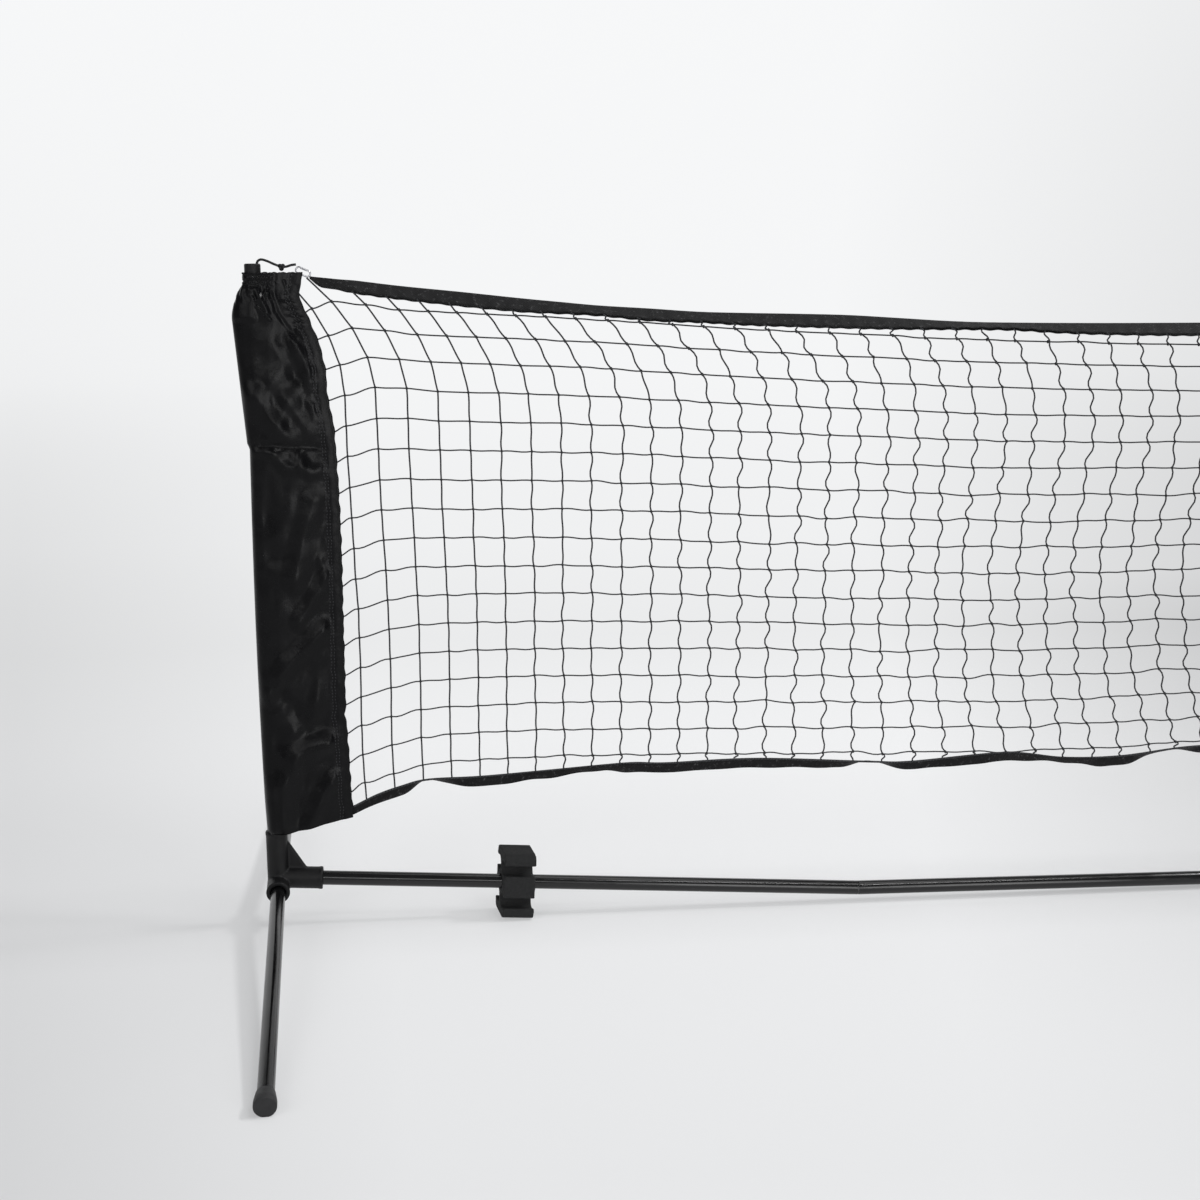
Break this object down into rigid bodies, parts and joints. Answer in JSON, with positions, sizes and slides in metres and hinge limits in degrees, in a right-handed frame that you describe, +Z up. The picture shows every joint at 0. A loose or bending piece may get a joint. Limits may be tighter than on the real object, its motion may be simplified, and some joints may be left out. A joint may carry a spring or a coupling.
{
  "type": "mini tennis net",
  "caption": "Free-standing mini tennis net on a tube frame: cloth post sleeves, knotted net with tapes, moulded hubs, pull-out feet and sliding foam storage clips.",
  "frame": {"origin": "on the floor, under the middle of the net, midway between the posts and between the front and back feet", "axes": "+X along the net to the right, +Y to the back, +Z up"},
  "size_m": [3.1952, 1.0234, 0.8707],
  "materials": {
    "tube": "gloss black paint on steel",
    "moulding": "fine moulded grain",
    "cap": "satin rubber",
    "foam": "matt closed-cell foam",
    "spigot": "plain drawn steel",
    "sleeve_cloth": "light polyester with a soft sheen",
    "tape": "woven binding tape",
    "twine": "twisted dark twine",
    "cord": "braided black cord",
    "link": "bright plated wire"
  },
  "bodies": {
    "frame": {"hub_left": "moulding", "hub_right": "moulding", "crossbar_tube_1": "tube", "crossbar_tube_2": "tube", "crossbar_tube_3": "tube", "crossbar_tube_4": "tube", "crossbar_spigot_1": "spigot", "crossbar_spigot_2": "spigot", "crossbar_spigot_3": "spigot"},
    "net_and_posts": {"post_left": "tube", "post_right": "tube", "post_plug_left": "moulding", "post_plug_right": "moulding", "sleeve_left": "sleeve_cloth", "sleeve_right": "sleeve_cloth", "net": "twine", "top_tape": "tape", "bottom_tape": "tape", "tension_cord_left": "cord", "tension_cord_right": "cord", "cord_knot_left": "cord", "cord_knot_right": "cord", "snap_link_left": "link", "snap_link_right": "link"},
    "foot_left_front": {"foot_tube_left_front": "tube", "foot_cap_left_front": "cap"},
    "foot_left_back": {"foot_tube_left_back": "tube", "foot_cap_left_back": "cap"},
    "foot_right_front": {"foot_tube_right_front": "tube", "foot_cap_right_front": "cap"},
    "foot_right_back": {"foot_tube_right_back": "tube", "foot_cap_right_back": "cap"},
    "clip_left": {"storage_clip_left": "foam"},
    "clip_right": {"storage_clip_right": "foam"}
  },
  "joints": [
    {"name": "net_and_posts_lift", "type": "slide", "parent": "frame", "child": "net_and_posts", "axis": [0, 0, 1], "range_m": [0, 0.06]},
    {"name": "foot_left_front_pull", "type": "slide", "parent": "frame", "child": "foot_left_front", "axis": [0.0486, -0.9946, -0.0912], "range_m": [0, 0.035]},
    {"name": "foot_left_back_pull", "type": "slide", "parent": "frame", "child": "foot_left_back", "axis": [-0.0486, 0.9946, -0.0912], "range_m": [0, 0.035]},
    {"name": "foot_right_front_pull", "type": "slide", "parent": "frame", "child": "foot_right_front", "axis": [-0.0486, -0.9946, -0.0912], "range_m": [0, 0.035]},
    {"name": "foot_right_back_pull", "type": "slide", "parent": "frame", "child": "foot_right_back", "axis": [0.0486, 0.9946, -0.0912], "range_m": [0, 0.035]},
    {"name": "clip_left_slide", "type": "slide", "parent": "frame", "child": "clip_left", "axis": [0.9982, 0, -0.0603], "range_m": [-0.22, 0.02]},
    {"name": "clip_right_slide", "type": "slide", "parent": "frame", "child": "clip_right", "axis": [-0.9982, 0, -0.0603], "range_m": [-0.22, 0.02]}
  ]
}
